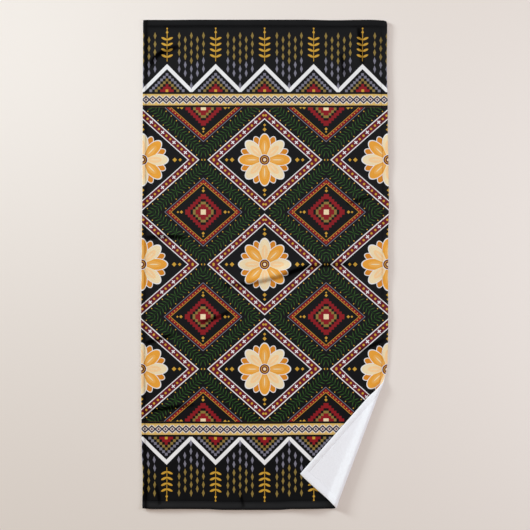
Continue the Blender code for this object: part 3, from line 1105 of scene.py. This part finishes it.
def back_material():
    """White looped terry: small rounded loops with shadow between them."""
    gloss = {"Roughness": 0.95, "Specular IOR Level": 0.12, "Sheen Weight": 0.12}
    made, tree, shader = new_material("white_terry", gloss)
    place, _, _ = cloth_place(tree)
    entries = {"Scale": LOOPS, "Smoothness": 0.35, "Randomness": 0.75, "Vector": place}
    cells = new_node(tree, "TexVoronoi", entries, feature="SMOOTH_F1")
    loops = 1.0 - Number(tree, cells.outputs["Distance"])
    patches = noise(tree, place, LOOP_PATCHES, 3.0)
    depth = loops * LOOP_TONE + (patches * LOOP_PATCH_TONE + LEAST_LOOP_TONE)
    colour = mix(depth, TERRY_SHADOW, TERRY_WHITE)
    height = loops + noise(tree, place, LOOP_FIBRES) * LOOP_FUZZ
    colour_and_bump(tree, shader, colour, height, LOOP_DEPTH)
    return made


def thread_material(name, printed):
    """Twisted sewing thread: white, or printed over with the cloth."""
    made, tree, shader = new_material(name, {"Roughness": 0.6, "Specular IOR Level": 0.25})
    place = new_node(tree, "TexCoord").outputs["Object"]
    twist = noise(tree, place, TWIST, 1.0)
    if printed:
        # The printed thread takes the print with its painted sheen
        colour = shade(print_in_place(tree)[1], twist * TWIST_TONE + LEAST_TWIST_TONE)
    else:
        colour = mix(twist, THREAD_SHADOW, THREAD_WHITE)
    colour_and_bump(tree, shader, colour, twist, TWIST_DEPTH)
    return made


def new_object(name, data):
    """A new object in the scene."""
    made = bpy.data.objects.new(name, data)
    bpy.context.scene.collection.objects.link(made)
    return made


def piece(name, mesh):
    """A mesh as a piece of the object, riding with the towel."""
    made = new_object(name, mesh)
    mesh.shade_smooth()
    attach(made, "root")
    return made


def make_cloth():
    """The towel itself, in place of its plain solid."""
    mesh = closed_cloth()
    add_cloth_maps(mesh)
    mesh.materials.append(front_material())
    mesh.materials.append(back_material())
    cloth = piece("towel_cloth", mesh)
    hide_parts("towel")
    return cloth


def seam_places():
    """The middle and the direction of every stitch on the flat cloth, hem by hem."""
    left, right, bottom, top = inside_edges(0, 0) - HEMS - GROOVE_REACH
    corners = np.array(((-left, -bottom), (right, -bottom), (right, top), (-left, top), (-left, -bottom)))
    places = []
    directions = []
    for start, end in zip(corners, corners[1:]):
        span = end - start
        length = np.hypot(*span)
        count = int(length / STITCH_PITCH)
        places.extend(start + span * (step + 0.5) / count for step in range(count))
        directions.extend([span / length] * count)
    return np.array(places), np.array(directions)


def make_stitches(name, on_front):
    """A row of lockstitches on one face of the cloth, each an arched bead of thread."""
    places, directions = seam_places()
    angles = np.arange(STITCH_SIDES) * math.tau / STITCH_SIDES
    along, swell = np.transpose(STITCH_RINGS)
    along = np.repeat(along * STITCH_LENGTH, STITCH_SIDES)[:, None]
    across = (STITCH_RADIUS * np.outer(swell, np.cos(angles))).reshape(-1, 1)
    rise = STITCH_RADIUS * np.outer(swell, np.sin(angles)) + (STITCH_RISE * (2 * swell - 1))[:, None]
    square = np.stack((-directions[:, 1], directions[:, 0]), axis=1)
    flat = (places[:, None] + directions[:, None] * along + square[:, None] * across).reshape(-1, 2)
    rise = np.tile(rise.ravel(), len(places))
    points = over_cloth(*flat.T, rise, on_front)
    per_stitch = len(STITCH_RINGS) * STITCH_SIDES
    faces = []
    for first in range(0, len(points), per_stitch):
        last = first + per_stitch - STITCH_SIDES
        for ring in range(first, last, STITCH_SIDES):
            for side in range(STITCH_SIDES):
                here = ring + side
                after = ring + (side + 1) % STITCH_SIDES
                faces.append((here, after, after + STITCH_SIDES, here + STITCH_SIDES))
        faces.append(tuple(reversed(range(first, first + STITCH_SIDES))))
        faces.append(tuple(range(last, last + STITCH_SIDES)))
    mesh = bpy.data.meshes.new(name)
    mesh.from_pydata(points.tolist(), [], faces)
    add_map(mesh, "Cloth", *flat[all_values(mesh.loops, "vertex_index")].T)
    mesh.materials.append(thread_material(name + "_thread", printed=on_front))
    return piece(name, mesh)


def make_floor():
    """A plain pale floor."""
    bpy.ops.mesh.primitive_plane_add(size=24)
    floor = bpy.context.object
    floor.name = "floor"
    entries = {"Base Color": FLOOR_COLOUR, "Roughness": 0.9, "Specular IOR Level": 0.1}
    floor.data.materials.append(new_material("pale_floor", entries)[0])


def area_light(name, azimuth, elevation, away, size, power, colour):
    """A square soft light, in degrees round and above the towel, aimed at its middle."""
    light = bpy.data.lights.new(name, "AREA")
    light.size = size
    light.energy = power
    light.color = colour
    made = new_object(name, light)
    turn = Euler((0, -math.radians(elevation), math.radians(azimuth)))
    towards = turn.to_matrix() @ Vector((1, 0, 0))
    made.location = towards * away
    made.rotation_euler = (-towards).to_track_quat("-Z", "Y").to_euler()


def make_light():
    """A low far key light from the upper left, a near one beside it, a fill, and an even warm sky."""
    area_light("key", 149, 21, 6.5, 1.6, 289, (0.844, 0.954, 1.0))
    area_light("near_key", 138, 45, 1.6, 1.0, 5.8, (0.73, 0.89, 1.0))
    area_light("fill", 0, 35, 2.8, 1.6, 34.6, (0.77, 0.86, 1.0))
    world = bpy.data.worlds.new("studio")
    bpy.context.scene.world = world
    world.use_nodes = True
    tree = world.node_tree
    feed(tree, tree.nodes["Background"], {"Color": SKY_COLOUR, "Strength": SKY_STRENGTH})


# The camera looks straight down. The photograph's middle lies this far from the towel's, at this scale
PICTURE = 1.645
PICTURE_MIDDLE = (0.0012, -0.0019)
CAMERA_HEIGHT = 6.0


def make_camera():
    """A long lens straight above, framing the floor as wide as the picture."""
    lens = bpy.data.cameras.new("camera")
    lens.lens = lens.sensor_width * CAMERA_HEIGHT / PICTURE
    camera = new_object("camera", lens)
    camera.location = (*PICTURE_MIDDLE, CAMERA_HEIGHT)
    bpy.context.scene.camera = camera
    bpy.context.scene.view_settings.view_transform = "Standard"


make_camera()
make_light()
make_floor()
cloth = make_cloth()
front_stitches = make_stitches("hem_stitches_front", on_front=True)
back_stitches = make_stitches("hem_stitches_back", on_front=False)
